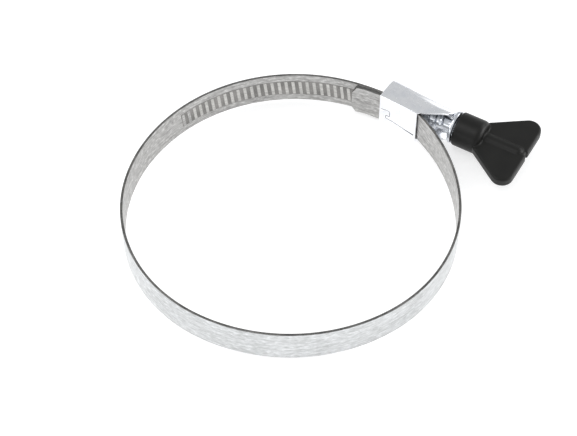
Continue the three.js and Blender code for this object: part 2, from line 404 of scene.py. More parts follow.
@dataclass(frozen=True)
class PlasticFinish:
    """Moulded satin plastic with a very fine eroded grain."""

    name: str
    dark: tuple[float, float, float]
    light: tuple[float, float, float]
    roughness: tuple[float, float]

    def material(self) -> bpy.types.Material:
        """Builds the material.

        Returns:
            The finished material.
        """
        board = NodeBoard(self.name)
        grain = board.noise(board.place, 5200.0, 2.0, 0.5)
        wear = board.noise(board.place, 240.0, 4.0, 0.6)
        dust = board.stretch(board.noise(board.place, 3100.0, 1.0, 0.4), 0.70, 0.78, 0.0, 0.6)
        tone = board.math("ADD", board.stretch(wear, 0.35, 0.65, 0.0, 0.5), dust)
        return board.dress(
            Base_Color=board.between(tone, self.dark, self.light),
            Metallic=0.0,
            Roughness=board.stretch(wear, 0.3, 0.7, *self.roughness),
            Specular_IOR_Level=0.3,
            Normal=board.bump(grain, 0.000025, 0.35),
        )


# ---- Building ----


class Workpiece:
    """A mesh under construction, in the clamp's own millimetres."""

    def __init__(self, name: str) -> None:
        """Starts an empty mesh.

        Args:
            name: Name of the finished object.
        """
        self.name = name
        self.bm = bmesh.new()

    def chain(self, points: Sequence[Vector], closed: bool = False) -> list[bmesh.types.BMEdge]:
        """Draws a run of edges through points.

        Args:
            points: The points, in order.
            closed: Whether the last joins the first.

        Returns:
            The new edges, in order.
        """
        first = bmesh.ops.create_vert(self.bm, co=points[0])["vert"][0]
        last, edges = first, []
        for before, after in zip(points, points[1:]):
            grown = bmesh.ops.extrude_vert_indiv(self.bm, verts=[last])
            last = grown["verts"][0]
            bmesh.ops.translate(self.bm, verts=[last], vec=after - before)
            edges.append(grown["edges"][0])
        if closed:
            made = bmesh.ops.contextual_create(self.bm, geom=[last, first])
            edges.extend(made["edges"])
        return edges

    def prism(self, outline: Sequence[Vector], depth: Vector) -> list[bmesh.types.BMFace]:
        """Makes a closed solid from an outline moved along a vector.

        Args:
            outline: Corners of the flat outline, in order.
            depth: The vector.

        Returns:
            All the faces of the solid.
        """
        known = set(self.bm.faces)
        edges = self.chain(outline, closed=True)
        face = bmesh.ops.contextual_create(self.bm, geom=edges)["faces"][0]
        grown = bmesh.ops.extrude_face_region(self.bm, geom=[face], use_keep_orig=True)["geom"]
        moved = [item for item in grown if isinstance(item, bmesh.types.BMVert)]
        bmesh.ops.translate(self.bm, verts=moved, vec=depth)
        return [item for item in self.bm.faces if item not in known]

    def turn(self, profile: Sequence[tuple[float, float]], steps: int = 64) -> None:
        """Turns a profile about the screw's axis.

        Args:
            profile: Pairs of radius and X; an end at radius 0 closes on the axis.
            steps: Chords for the full turn.
        """
        points = [Vector((x, SCREW_Y + radius, 0.0)) for radius, x in profile]
        edges = self.chain(points)
        bmesh.ops.spin(
            self.bm, geom=corners(edges) + edges, cent=(0.0, SCREW_Y, 0.0), axis=X_AXIS,
            angle=2 * math.pi, steps=steps, use_merge=True,
        )
        bmesh.ops.remove_doubles(self.bm, verts=self.bm.verts, dist=1e-4)

    def done(self, modifiers: Iterable[tuple[str, dict[str, object]]] = (),
             smooth: float = 35.0) -> bpy.types.Object:
        """Places the mesh in the row frame and makes the object.

        Args:
            modifiers: Kinds and settings of modifiers to shape it with, sizes in mm.
            smooth: Edges up to this angle are shaded smooth, in degrees.

        Returns:
            The object, with no modifiers left on it.
        """
        bmesh.ops.recalc_face_normals(self.bm, faces=self.bm.faces)
        mesh = bpy.data.meshes.new(self.name)
        self.bm.to_mesh(mesh)
        self.bm.free()
        shaped = bpy.data.objects.new(self.name, mesh)
        bpy.context.scene.collection.objects.link(shaped)
        for kind, settings in modifiers:
            modifier = shaped.modifiers.new(kind.title(), kind)
            for key, value in settings.items():
                setattr(modifier, key, value)
        depsgraph = bpy.context.evaluated_depsgraph_get()
        final = bpy.data.meshes.new_from_object(shaped.evaluated_get(depsgraph))
        shaped.modifiers.clear()
        shaped.data = final
        bpy.data.meshes.remove(mesh)
        final.name = self.name
        final.transform(Matrix.Scale(MM, 4) @ Matrix.Translation(DATUM))
        final.shade_smooth()
        final.set_sharp_from_angle(angle=math.radians(smooth))
        return shaped


def corners(edges: Iterable[bmesh.types.BMEdge]) -> list[bmesh.types.BMVert]:
    """Lists the vertices of edges once each."""
    return list(dict.fromkeys(vert for edge in edges for vert in edge.verts))


@dataclass(frozen=True)
class Station:
    """A place on the strip's middle line and the way that its outer face looks there."""

    point: Vector
    facing: float

    def centre(self, radius: float) -> Vector:
        """Gives the centre of an arc of some radius that starts here."""
        return self.point - outward(self.facing) * radius

    def arc(self, radius: float, facing: float) -> "Station":
        """Follows an arc of some radius until the outer face looks along facing, in degrees."""
        return Station(self.centre(radius) + outward(facing) * radius, facing)

    def straight(self, length: float) -> "Station":
        """Goes straight on for a length."""
        return Station(self.point + outward(self.facing + 90.0) * length, self.facing)


@dataclass
class Sweep:
    """Carries a section along arcs and straights."""

    piece: Workpiece
    at: Station
    section: list[tuple[float, float]]
    edges: list[bmesh.types.BMEdge] = field(default_factory=list)

    def __post_init__(self) -> None:
        """Draws the section at the starting place."""
        look = outward(self.at.facing)
        points = [self.at.point + look * off + Z_AXIS * z for off, z in self.section]
        self.edges = self.piece.chain(points, closed=True)

    def cap(self) -> None:
        """Closes the strip's end at the present place."""
        bmesh.ops.contextual_create(self.piece.bm, geom=self.edges)

    def _take(self, grown: list[object]) -> list[bmesh.types.BMFace]:
        """Goes on from newly made geometry.

        Args:
            grown: Geometry that a spin or an extrusion gave back.

        Returns:
            The faces just made.
        """
        self.edges = [item for item in grown if isinstance(item, bmesh.types.BMEdge)]
        return list(dict.fromkeys(face for edge in self.edges for face in edge.link_faces))

    def arc(self, radius: float, facing: float, step: float = 1.5) -> list[bmesh.types.BMFace]:
        """Sweeps an arc.

        Args:
            radius: The middle line's radius.
            facing: The way that the outer face looks at the end, in degrees.
            step: Longest chord, in degrees.

        Returns:
            The faces made.
        """
        total = facing - self.at.facing
        steps = max(1, math.ceil(total / step - 1e-6))
        faces: list[bmesh.types.BMFace] = []
        for _ in range(steps):
            spun = bmesh.ops.spin(
                self.piece.bm, geom=corners(self.edges) + self.edges, cent=self.at.centre(radius),
                axis=Z_AXIS, angle=math.radians(total / steps), steps=1,
            )
            faces += self._take(spun["geom_last"])
        self.at = self.at.arc(radius, facing)
        return faces

    def straight(self, length: float) -> list[bmesh.types.BMFace]:
        """Sweeps a straight.

        Args:
            length: Its length.

        Returns:
            The faces made.
        """
        grown = bmesh.ops.extrude_edge_only(self.piece.bm, edges=self.edges)["geom"]
        moved = [item for item in grown if isinstance(item, bmesh.types.BMVert)]
        after = self.at.straight(length)
        bmesh.ops.translate(self.piece.bm, verts=moved, vec=after.point - self.at.point)
        self.at = after
        return self._take([item for item in grown if isinstance(item, bmesh.types.BMEdge)
                           and all(vert in moved for vert in item.verts)])


# ---- Band ----


@dataclass
class Band:
    """The steel strip: a fixed length with its tongue, the back, and the slotted length."""

    width: float = 9.0
    thickness: float = 0.7
    rim: float = 0.16
    slack_centre: tuple[float, float] = (4.5, -19.0)
    slack_radius: float = 59.91
    tail_facing: float = 81.65
    slack_facing: float = 98.64
    threaded_radius: float = 41.85
    left_radius: float = 37.91
    right_radius: float = 43.01
    end_radius: float = 38.39
    exit_radius: float = 46.99
    exit_turn: float = 390.0
    left_flex: float = 201.2
    middle: float = 271.0
    right_flex: float = 332.2
    exit_facing: float = 421.0
    exit_bend: float = 3.0
    fixed_radius: float = 58.96
    dip_x: float = 0.0
    tongue_radius: float = 20.0
    tongue_dip: float = 5.0
    seam_facing: float = 222.0
    blend_reach: float = 11.0
    pitch: float = 1.83
    slots: int = 36
    slots_past_flat: int = 4
    slot_width: float = 1.25
    slot_height: float = 4.8
    slot_depth: float = 0.42
    slot_wall: float = 0.1
    slot_slant: float = 0.108
    pad_border: float = 0.22
    pad_rise: float = 0.1
    corner: float = 0.3
    faint: int = 2
    crease: float = 0.4
    crease_x: float = 2.4
    crease_run: float = 1.0
    crease_half_width: float = 1.0
    chamfer: float = 1.1
    chamfer_z: float = 2.6
    rim_cut: float = 0.3
    rim_lean: float = 0.75
    margin: float = 0.1
    bend_step: float = 4.0
    tongue_step: float = 3.0

    def tail(self) -> Station:
        """Gives the free end of the slotted length."""
        centre = Vector((*self.slack_centre, 0.0))
        return Station(centre + outward(self.tail_facing) * self.slack_radius, self.tail_facing)

    def flex(self) -> Station:
        """Gives the place where the slotted length flexes against the back."""
        slack_end = self.tail().arc(self.slack_radius, self.slack_facing)
        return slack_end.arc(self.threaded_radius, self.left_flex)

    def seam(self) -> Station:
        """Gives the place on the back where the two meshes meet."""
        return self.flex().arc(self.left_radius, self.seam_facing)

    def section(self, extra: Sequence[float]) -> list[tuple[float, float]]:
        """Gives the strip's section with rounded rims.

        Args:
            extra: Heights at which both faces are divided.

        Returns:
            Pairs of distance outwards and height.
        """
        half, flat, tall = self.thickness / 2, self.thickness / 2 - self.rim, self.width / 2
        low = tall - self.rim
        cut = self.rim * self.rim_cut
        outer = [(half, z) for z in (-low, *sorted(extra), low)]
        top = [(half - cut, tall - cut), (flat, tall), (-flat, tall), (-half + cut, tall - cut)]
        inner = [(-half, z) for z in (low, *sorted(extra, reverse=True), -low)]
        bottom = [(-half + cut, -tall + cut), (-flat, -tall), (flat, -tall), (half - cut, -tall + cut)]
        return outer + top + inner + bottom

    def tell_sides(self, piece: Workpiece) -> None:
        """Gives each face the material of its side of the strip.

        Args:
            piece: The mesh.
        """
        bmesh.ops.recalc_face_normals(piece.bm, faces=piece.bm.faces)
        for face in piece.bm.faces:
            middle = face.calc_center_median()
            out = face.normal.dot(Vector((middle.x, middle.y, 0.0)).normalized())
            face.material_index = int(
                Side.RIM if abs(out) < self.rim_lean else Side.OUTER if out > 0 else Side.INNER
            )

    def slotted_mesh(self) -> bpy.types.Object:
        """Builds the slotted length up to the seam on the back.

        Returns:
            The object.
        """
        piece = Workpiece("band_slotted")
        reach = self.slot_height / 2
        sweep = Sweep(piece, self.tail(), self.section((-reach, reach)))
        sweep.cap()
        arc_length = math.radians(self.slack_facing - self.tail_facing) * self.slack_radius

        def facing_at(distance: float) -> float:
            """Gives the facing at a distance from the tail.

            Args:
                distance: The distance along the middle line.

            Returns:
                The facing, in degrees.
            """
            if distance <= arc_length:
                return self.tail_facing + math.degrees(distance / self.slack_radius)
            return self.slack_facing + math.degrees((distance - arc_length) / self.threaded_radius)

        def go(distance: float) -> list[bmesh.types.BMFace]:
            """Sweeps to a distance from the tail.

            Args:
                distance: The distance along the middle line.

            Returns:
                The faces made.
            """
            faces, target = [], facing_at(distance)
            if sweep.at.facing < self.slack_facing - 1e-6:
                faces += sweep.arc(self.slack_radius, min(target, self.slack_facing))
            if target > self.slack_facing + 1e-6:
                faces += sweep.arc(self.threaded_radius, target)
            return faces

        def within(faces: Iterable[bmesh.types.BMFace]) -> list[bmesh.types.BMFace]:
            """Keeps the faces that lie between the slots' two ends."""
            return [face for face in faces if abs(face.calc_center_median().z) < reach - self.margin]

        def lean(sign: float, radius: float) -> None:
            """Slants the section's middle, or sets it upright again.

            Args:
                sign: 1 to slant, -1 to undo it.
                radius: Radius of the arc at this place.
            """
            for side in (-1.0, 1.0):
                verts = [v for v in corners(sweep.edges) if abs(v.co.z - side * reach) < 1e-3]
                angle = sign * side * reach * self.slot_slant / radius
                bmesh.ops.rotate(piece.bm, verts=verts, cent=sweep.at.centre(radius),
                                 matrix=Matrix.Rotation(angle, 3, "Z"))

        outer_radius = self.slack_radius + self.thickness / 2
        step = self.pitch * self.slack_radius / outer_radius
        flat = math.radians(90.0 - self.tail_facing) * self.slack_radius
        first = flat - self.slots_past_flat * step
        go(first - self.slot_width)
        lean(1.0, self.slack_radius)
        pressed: list[list[bmesh.types.BMFace]] = []
        webs: list[bmesh.types.BMFace] = []
        for index in range(self.slots):
            middle = first + index * step
            web = go(middle - self.slot_width / 2)
            if index:
                webs += within(web)
            pressed.append(within(go(middle + self.slot_width / 2)))
        go(first + self.slots * step)
        lean(-1.0, self.threaded_radius)
        sweep.arc(self.threaded_radius, self.left_flex)
        sweep.arc(self.left_radius, self.seam_facing)
        self.tell_sides(piece)
        # The inner face's webs between the pads take the dark pressed finish: painted shade between the
        # pads.
        for face in webs:
            if face.material_index == Side.INNER:
                face.material_index = int(Side.PRESSED)
        for index, faces in enumerate(pressed):
            self.press(piece, faces, index >= self.slots - self.faint)
        return piece.done()

    def press(self, piece: Workpiece, faces: Sequence[bmesh.types.BMFace], faint: bool) -> None:
        """Presses one slot into the outer face and its pad out of the inner face.

        Args:
            piece: The mesh.
            faces: The slot's faces on both sides.
            faint: Whether the pad is only lightly pressed.
        """
        outer = [face for face in faces if face.material_index == Side.OUTER]
        inner = [face for face in faces if face.material_index == Side.INNER]
        pad = Side.INNER if faint else Side.PAD
        # The slot's walls take the dark pressed finish and its floor the dark rim finish: painted shade in
        # the recess. The pad's sloping border takes the dark pressed finish: painted shade on the slope.
        for mine, wall, depth, finish in (
            (outer, self.slot_wall, -self.slot_depth, Side.RIM),
            (inner, self.pad_border, self.pad_rise, pad),
        ):
            made = bmesh.ops.inset_region(
                piece.bm, faces=mine, thickness=wall, depth=depth,
                use_even_offset=True, use_boundary=True,
            )["faces"]
            for face in made:
                face.material_index = int(Side.PRESSED)
            for face in mine:
                face.material_index = int(finish)
            ends = [vert for vert in corners(edge for face in mine for edge in face.edges)
                    if sum(face in mine for face in vert.link_faces) == 1]
            bmesh.ops.bevel(piece.bm, geom=ends, offset=self.corner, segments=3, profile=0.5,
                            affect="VERTICES", material=-1)

    def plain_mesh(self) -> bpy.types.Object:
        """Builds the back and the fixed length, from the seam to the tongue's end.

        Returns:
            The object.
        """
        piece = Workpiece("band_plain")
        side, deep = self.chamfer_z, self.crease_half_width
        sweep = Sweep(piece, self.seam(), self.section((-side, -deep, 0.0, deep, side)))
        sweep.arc(self.left_radius, self.middle)
        sweep.arc(self.right_radius, self.right_flex)
        sweep.arc(self.end_radius, self.exit_turn)
        sweep.arc(self.exit_radius, self.exit_facing)
        slack = Vector((*self.slack_centre, 0.0))
        look = outward(self.exit_facing)
        rise = (sweep.at.point - slack).dot(look) - self.exit_bend
        run = math.sqrt((self.fixed_radius - self.exit_bend) ** 2 - rise**2)
        along = outward(self.exit_facing + 90.0)
        bend_centre = slack + look * rise + along * run
        sweep.straight((bend_centre - sweep.at.point).dot(along))
        toward = bend_centre - slack
        meet = 360.0 + math.degrees(math.atan2(toward.y, toward.x))
        sweep.arc(self.exit_bend, meet, self.bend_step)
        start, creased, dip = (
            450.0 - math.degrees(math.asin((x - slack.x) / self.fixed_radius))
            for x in (self.crease_x, self.crease_x - self.crease_run, self.dip_x)
        )
        sweep.arc(self.fixed_radius, start)
        sweep.arc(self.fixed_radius, creased)
        verts = [v for v in corners(sweep.edges) if abs(v.co.z) < self.margin]
        bmesh.ops.translate(piece.bm, verts=verts, vec=-outward(sweep.at.facing) * self.crease)
        sweep.arc(self.fixed_radius, dip)
        turn = math.degrees(self.tongue_dip / self.tongue_radius)
        sweep.arc(self.tongue_radius, dip + turn, self.tongue_step)
        corner = [v for v in corners(sweep.edges) if abs(v.co.z) > side + self.margin]
        bmesh.ops.translate(piece.bm, verts=corner, vec=outward(sweep.at.facing - 90.0) * self.chamfer)
        sweep.cap()
        self.tell_sides(piece)
        return piece.done()

    def dress(self, meshes: Iterable[bpy.types.Object]) -> None:
        """Gives the meshes their finishes.

        Args:
            meshes: The strip's objects.
        """
        finishes = (
            StripFinish("strip_outer", (0.46, 0.47, 0.47), (0.78, 0.79, 0.80), (0.28, 0.46),
                        0.25, 0.45),
            # The inner face's finish is the outer's galvanised steel, with the same grain and spangle, in a
            # darker tone: painted shade.
            StripFinish("strip_inner_painted_shade", (0.26, 0.255, 0.25), (0.60, 0.595, 0.585), (0.28, 0.48),
                        0.8, 0.35),
            # The rim finish's dark tone is painted shade, on the cut rims and the slot floors.
            CutAndShadeFinish("strip_rim_painted_shade", (0.10, 0.098, 0.094), (0.26, 0.255, 0.245), 0.42),
            # The pressed finish's dark tone is painted shade in the slots, between the pads and on the
            # pads' slopes.
            CutAndShadeFinish("strip_pressed_painted_shade", (0.19, 0.187, 0.18), (0.34, 0.33, 0.32), 0.4),
            StripFinish("strip_pad", (0.40, 0.395, 0.38), (0.64, 0.63, 0.61), (0.3, 0.42), 0.2, 0.2),
        )
        materials = [finish.material() for finish in finishes]
        for mesh in meshes:
            for material in materials:
                mesh.data.materials.append(material)

    def build(self) -> list[bpy.types.Object]:
        """Builds and dresses both meshes and bakes their placement.

        Returns:
            The strip's objects.
        """
        slotted, plain = self.slotted_mesh(), self.plain_mesh()
        self.dress((slotted, plain))
        flex = self.flex()
        back = flex.arc(self.left_radius, self.middle).arc(self.right_radius, self.right_flex)
        for mesh, place, first, second in (
            (slotted, flex, Body.BACK, Body.THREADED),
            (plain, back, Body.CLAMP, Body.BACK),
        ):
            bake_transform(mesh)
        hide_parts("band_threaded_end")
        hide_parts("band_fixed_end", "band_back")
        return [slotted, plain]


# ---- Housing ----


@dataclass
class Housing:
    """Pressed housing: a floor for the strip, two side walls and an arch over the screw."""

    start: float = 3.0
    floor_end: float = 13.8
    cover_end: float = 21.4
    sheet: float = 0.7
    half_width: float = 5.05
    closed_radius: float = 4.75
    open_radius: float = 3.4
    shoulder_y: float = 42.31
    floor_start_y: float = 39.14
    floor_end_y: float = 38.41
    notch_rise: float = 4.0
    end_foot: float = 41.76
    lip_radius: float = 2.1
    lip: float = 0.7
    arch_steps: int = 24
    edge: float = 0.16
    edge_angle: float = 28.0
    spring: float = 20.0
    round_below: float = 1.0
    round_above: float = 0.3
    round_steps: int = 6
    skirt: float = 3.0
    floor_spans: int = 3
    plate_foot_z: float = 3.6
    plate_side_z: float = 4.4
    plate_rise: float = 0.1
    plate_inset: float = 0.2
    lip_inset: float = 0.15
    plate_gap: float = 0.05
    plate_edge: float = 0.08
    plate_edge_angle: float = 60.0
    line_half_width: float = 0.07
    line_rise: float = 0.008
    line_depth: float = 0.06

    def arch(self, x: float, radius: float) -> list[Vector]:
        """Gives a half circle over the screw's axis, from +Z to -Z.

        Args:
            x: Its place along the screw.
            radius: Its radius.

        Returns:
            The points.
        """
        angles = (math.pi * index / self.arch_steps for index in range(self.arch_steps + 1))
        return [Vector((x, SCREW_Y + radius * math.sin(a), radius * math.cos(a))) for a in angles]

    def profile(self, x: float) -> list[Vector]:
        """Gives the middle surface of the walls and arch at a place along the screw.

        Args:
            x: The place.

        Returns:
            Points from one wall's foot over the arch to the other's.
        """
        share = (x - self.start) / (self.cover_end - self.start)
        radius = self.closed_radius + share * (self.open_radius - self.closed_radius)
        spring = math.radians(self.spring)
        low = Vector((x, self.shoulder_y - self.round_below, self.half_width))
        pull = Vector((x, self.shoulder_y + self.round_above, self.half_width))
        top = Vector((x, SCREW_Y + radius * math.sin(spring), radius * math.cos(spring)))
        half = [Vector((x, self.floor_end_y - self.skirt, self.half_width))]
        for index in range(self.round_steps + 1):
            t = index / self.round_steps
            half.append(low * (1 - t) ** 2 + pull * 2 * t * (1 - t) + top * t * t)
        arch = []
        for index in range(1, self.arch_steps):
            angle = spring + (math.pi - 2 * spring) * index / self.arch_steps
            arch.append(Vector((x, SCREW_Y + radius * math.sin(angle), radius * math.cos(angle))))
        return half + arch + [Vector((x, point.y, -point.z)) for point in reversed(half)]

    def shell(self) -> bpy.types.Object:
        """Builds the folded sheet.

        Returns:
            The object.
        """
        piece = Workpiece("housing_shell")
        span = (self.floor_end - self.start) / self.floor_spans
        floor_steps = [self.start + span * i for i in range(self.floor_spans + 1)]
        stations = [*floor_steps, (self.floor_end + self.cover_end) / 2, self.cover_end]
        rings = [piece.chain(self.profile(x)) for x in stations]
        for before, after in zip(rings, rings[1:]):
            bmesh.ops.bridge_loops(piece.bm, edges=before + after)
        foot = self.floor_end_y
        cuts = (
            ((self.start, self.floor_start_y), (self.floor_end, foot)),
            ((self.floor_end, foot), (self.cover_end - self.lip, foot + self.notch_rise)),
            ((self.cover_end - self.lip, foot + self.notch_rise), (self.cover_end, SCREW_Y)),
        )
        for (x0, y0), (x1, y1) in cuts:
            bmesh.ops.bisect_plane(
                piece.bm, geom=[*piece.bm.verts, *piece.bm.edges, *piece.bm.faces], dist=1e-5,
                plane_co=(x0, y0, 0.0), plane_no=(y1 - y0, x0 - x1, 0.0), clear_outer=True,
            )
        feet = [edge for edge in piece.bm.edges if edge.is_boundary and all(
            abs(vert.co.y - self.floor_y(vert.co.x)) < 1e-3 and vert.co.x < self.floor_end + 1e-3
            for vert in edge.verts)]
        bmesh.ops.bridge_loops(piece.bm, edges=feet)
        return piece.done((
            ("SOLIDIFY", {"thickness": self.sheet, "offset": 0.0, "use_even_offset": True}),
            ("BEVEL", {"width": self.edge, "segments": 3, "limit_method": "ANGLE",
                       "angle_limit": math.radians(self.edge_angle)}),
        ))

    def floor_y(self, x: float) -> float:
        """Gives the height of the floor's middle surface.

        Args:
            x: Place along the screw.

        Returns:
            The Y of the floor there.
        """
        share = (x - self.start) / (self.floor_end - self.start)
        return self.floor_start_y + share * (self.floor_end_y - self.floor_start_y)

    def plates(self) -> bpy.types.Object:
        """Builds the end plate over the strip and the lip round the screw's neck.

        Returns:
            The object.
        """
        piece = Workpiece("housing_plates")
        back_x, face_x = self.start + self.plate_gap, self.cover_end - self.lip
        side = [Vector((back_x, self.end_foot, self.plate_foot_z)),
                Vector((back_x, self.shoulder_y + self.plate_rise, self.plate_side_z))]
        rim = self.arch(back_x, self.closed_radius - self.plate_inset)
        far_side = [Vector((point.x, point.y, -point.z)) for point in reversed(side)]
        piece.prism(side + rim + far_side, X_AXIS * self.sheet)
        ring = self.arch(face_x, self.open_radius - self.lip_inset)
        hole = self.arch(face_x, self.lip_radius)[::-1]
        piece.prism(ring + hole, X_AXIS * (self.lip - self.plate_gap))
        bmesh.ops.recalc_face_normals(piece.bm, faces=piece.bm.faces)
        sharp = [edge for edge in piece.bm.edges
                 if edge.is_manifold
                 and edge.calc_face_angle() > math.radians(self.plate_edge_angle)]
        bmesh.ops.bevel(piece.bm, geom=sharp, offset=self.plate_edge, segments=2, profile=0.5,
                        affect="EDGES", material=-1)
        return piece.done()

    def interlock(self) -> bpy.types.Object:
        """Builds the dark line where the sheet's two ends hook together under the floor.

        Returns:
            The object.
        """
        piece = Workpiece("housing_interlock")
        path = ((3.5, 0.9), (4.6, 1.0), (4.9, 1.2), (5.9, 1.2), (6.1, 1.0), (6.1, -0.5), (5.9, -0.7),
                (5.2, -0.7), (5.0, -0.9), (5.0, -1.6), (5.2, -1.8), (7.0, -1.9), (13.3, -3.2))
        for (x0, z0), (x1, z1) in zip(path, path[1:]):
            side = Vector((z1 - z0, 0.0, x0 - x1)).normalized() * self.line_half_width
            ends = [Vector((x, self.floor_y(x) - self.sheet / 2 - self.line_rise, z))
                    for x, z in ((x0, z0), (x1, z1))]
            piece.prism([ends[0] - side, ends[1] - side, ends[1] + side, ends[0] + side],
                        Vector((0.0, self.line_depth, 0.0)))
        return piece.done()

    def build(self) -> list[bpy.types.Object]:
        """Builds, dresses and hangs the housing.

        Returns:
            The housing's objects.
        """
        zinc = ZincFinish("housing_zinc_plate", (0.87, 0.885, 0.92), (0.95, 0.957, 0.975),
                          (0.16, 0.28), 0.000012).material()
        seam = CutAndShadeFinish("housing_seam", (0.05, 0.05, 0.055), (0.16, 0.16, 0.17), 0.5).material()
        parts = [self.shell(), self.plates(), self.interlock()]
        for part, material in zip(parts, (zinc, zinc, seam)):
            part.data.materials.append(material)
            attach(part, Body.CLAMP.value)
        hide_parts("housing")
        return parts


# ---- Screw ----


@dataclass
class Screw:
    """The worm: a threaded shank, a neck, a collar and the hexagon that the grip sits on."""

    nose: float = 4.05
    core: float = 1.95
    crest: float = 2.7
    thread_start: float = 4.5
    thread_end: float = 19.0
    flat_x: float = 4.5
    pitch: float = 1.83
    tip: float = 0.66
    flank: float = 0.28
    seat: float = 0.2
    neck: float = 1.75
    collar_start: float = 21.9
    collar: float = 4.35
    collar_thickness: float = 0.9
    across_flats: float = 5.6
    head: float = 6.2
    turn_steps: int = 48
    crest_corner: float = 0.08
    runout: tuple[float, float, float] = (-0.2, 0.3, 0.5)
    nose_round: float = 0.4
    neck_round: float = 0.15
    round_in: float = 0.25
    round_middle: float = 0.08
    round_rise: float = 0.07
    head_seat: float = 0.2

    def thread(self, piece: Workpiece) -> None:
        """Winds the thread round the core.

        Args:
            piece: The mesh.
        """
        turns = (self.thread_end - self.thread_start) / self.pitch
        foot, tip = self.core - self.seat, self.tip / 2
        corner = self.crest_corner
        phase = math.pi + 2 * math.pi * (self.thread_start - self.flat_x) / self.pitch
        section = ((-tip - self.flank, foot), (-tip, self.crest - corner), (-tip + corner, self.crest),
                   (tip - corner, self.crest), (tip, self.crest - corner), (tip + self.flank, foot))
        points = [Vector((self.thread_start + x, SCREW_Y + r * math.cos(phase), r * math.sin(phase)))
                  for x, r in section]
        edges = piece.chain(points, closed=True)
        bmesh.ops.contextual_create(piece.bm, geom=edges)
        steps = math.ceil(turns * self.turn_steps)
        last = bmesh.ops.spin(
            piece.bm, geom=corners(edges) + edges, cent=(0.0, SCREW_Y, 0.0), axis=X_AXIS,
            dvec=X_AXIS * (self.thread_end - self.thread_start) / steps,
            angle=turns * 2 * math.pi, steps=steps,
        )["geom_last"]
        bmesh.ops.contextual_create(
            piece.bm, geom=[item for item in last if isinstance(item, bmesh.types.BMEdge)])

    def build(self) -> list[bpy.types.Object]:
        """Builds, dresses and hangs the screw.

        Returns:
            The screw's objects.
        """
        threads = Workpiece("screw_thread")
        self.thread(threads)
        shank = Workpiece("screw_shank")
        collar_end = self.collar_start + self.collar_thickness
        before, after, neck_x = (self.thread_end + offset for offset in self.runout)
        near, middle = self.collar - self.round_in, self.collar - self.round_middle
        shank.turn([
            (0.0, self.nose), (self.core - self.nose_round, self.nose),
            (self.core, self.nose + self.nose_round),
            (self.core, before), (self.core - 0.1, after), (self.neck, neck_x),
            (self.neck, self.collar_start - self.neck_round),
            (self.neck + self.neck_round, self.collar_start),
            (near, self.collar_start), (middle, self.collar_start + self.round_rise),
            (self.collar, self.collar_start + self.round_in),
            (self.collar, collar_end - self.round_in),
            (middle, collar_end - self.round_rise), (near, collar_end), (0.0, collar_end),
        ], 2 * self.turn_steps)
        head = Workpiece("screw_head")
        corner = self.across_flats / math.sqrt(3)
        seat = collar_end - self.head_seat
        outline = [Vector((seat, SCREW_Y + corner * math.cos(a), corner * math.sin(a)))
                   for a in (math.pi * i / 3 for i in range(6))]
        head.prism(outline, X_AXIS * (self.head + self.head_seat))
        bmesh.ops.bevel(head.bm, geom=list(head.bm.edges), offset=0.2, segments=2, profile=0.5,
                        affect="EDGES", material=-1)
        zinc = ZincFinish("screw_zinc_plate", (0.52, 0.54, 0.58), (0.84, 0.86, 0.9),
                          (0.12, 0.26), 0.000008).material()
        parts = [shank.done(), threads.done(), head.done()]
        for part in parts:
            part.data.materials.append(zinc)
            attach(part, Body.SCREW.value)
        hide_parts("worm_screw")
        return parts


# ---- Grip ----


